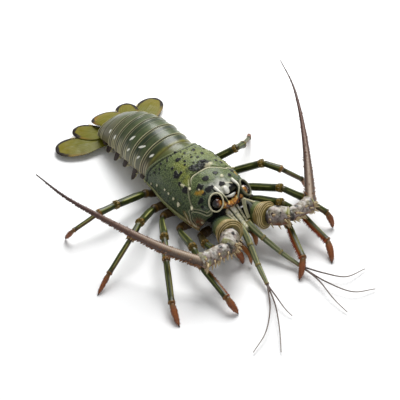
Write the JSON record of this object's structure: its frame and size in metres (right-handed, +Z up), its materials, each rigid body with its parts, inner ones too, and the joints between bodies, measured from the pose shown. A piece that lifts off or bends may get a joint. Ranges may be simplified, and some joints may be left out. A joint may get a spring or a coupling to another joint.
{
  "type": "raw spiny lobster",
  "caption": "Whole raw spiny lobster resting on its spread walking legs, with a spiny head shield, ringed tail, open tail fan, two long back-swept antennae and thin forked feelers.",
  "frame": {"origin": "centre of the bounding box in X and Y, on the surface the leg tips rest on", "axes": "+X towards the head along the body, +Y towards the animal's left, +Z up"},
  "size_m": [0.4878, 0.3902, 0.1106],
  "materials": {
    "shield": "sage green shell, finely grained, with dark pits, yellow-olive patches and a cream ridge; a moist half gloss",
    "underside": "olive brown breastplate and membrane, half matt",
    "eye": "black brown glossy eyeball with an amber sheen",
    "face": "pale green ribs with dark gaps",
    "antenna_base": "teal green dome with cream and brown rings at its rim",
    "antenna_stalk": "grey lilac shell with dark spots and cream spines",
    "whip": "grey mauve at the root, dark purple brown at the tip, finely ringed",
    "feeler": "olive green with cream lines",
    "hair": "thin brown grey hairs",
    "palp": "olive to rust brown, fringed",
    "tail_ring": "glossy dark green rings with cream rear edges, lilac grey sides and white spots",
    "fan": "olive yellow blades with dark brown rims and fine ribs",
    "leg": "dark olive green with pale lengthwise stripes and gold brown joints",
    "claw": "orange brown claw with a fringe of short bristles"
  },
  "bodies": {
    "root": {"head_shield": "shield", "thorax": "underside", "eye_right": "eye", "eye_left": "eye", "face_plate": "face", "antenna_right_base": "antenna_base", "antenna_right_middle": "antenna_stalk", "antenna_right_end": "antenna_stalk", "antenna_right_whip": "whip", "feeler_right_stalk": "feeler", "feeler_right_hairs": "hair", "palp_right": "palp", "antenna_left_base": "antenna_base", "antenna_left_middle": "antenna_stalk", "antenna_left_end": "antenna_stalk", "antenna_left_whip": "whip", "feeler_left_stalk": "feeler", "feeler_left_hairs": "hair", "palp_left": "palp", "tail_ring_1": "tail_ring", "tail_ring_2": "tail_ring", "tail_ring_3": "tail_ring", "tail_ring_4": "tail_ring", "tail_ring_5": "tail_ring", "tail_ring_6": "tail_ring", "telson": "fan", "fan_inner_right": "fan", "fan_inner_left": "fan", "fan_outer_right": "fan", "fan_outer_left": "fan", "leg_right_1_upper": "leg", "leg_right_1_shank": "leg", "leg_right_1_claw": "claw", "leg_right_2_upper": "leg", "leg_right_2_shank": "leg", "leg_right_2_claw": "claw", "leg_right_3_upper": "leg", "leg_right_3_shank": "leg", "leg_right_3_claw": "claw", "leg_right_4_upper": "leg", "leg_right_4_shank": "leg", "leg_right_4_claw": "claw", "leg_right_5_upper": "leg", "leg_right_5_shank": "leg", "leg_right_5_claw": "claw", "leg_left_1_upper": "leg", "leg_left_1_shank": "leg", "leg_left_1_claw": "claw", "leg_left_2_upper": "leg", "leg_left_2_shank": "leg", "leg_left_2_claw": "claw", "leg_left_3_upper": "leg", "leg_left_3_shank": "leg", "leg_left_3_claw": "claw", "leg_left_4_upper": "leg", "leg_left_4_shank": "leg", "leg_left_4_claw": "claw", "leg_left_5_upper": "leg", "leg_left_5_shank": "leg", "leg_left_5_claw": "claw"}
  },
  "joints": []
}
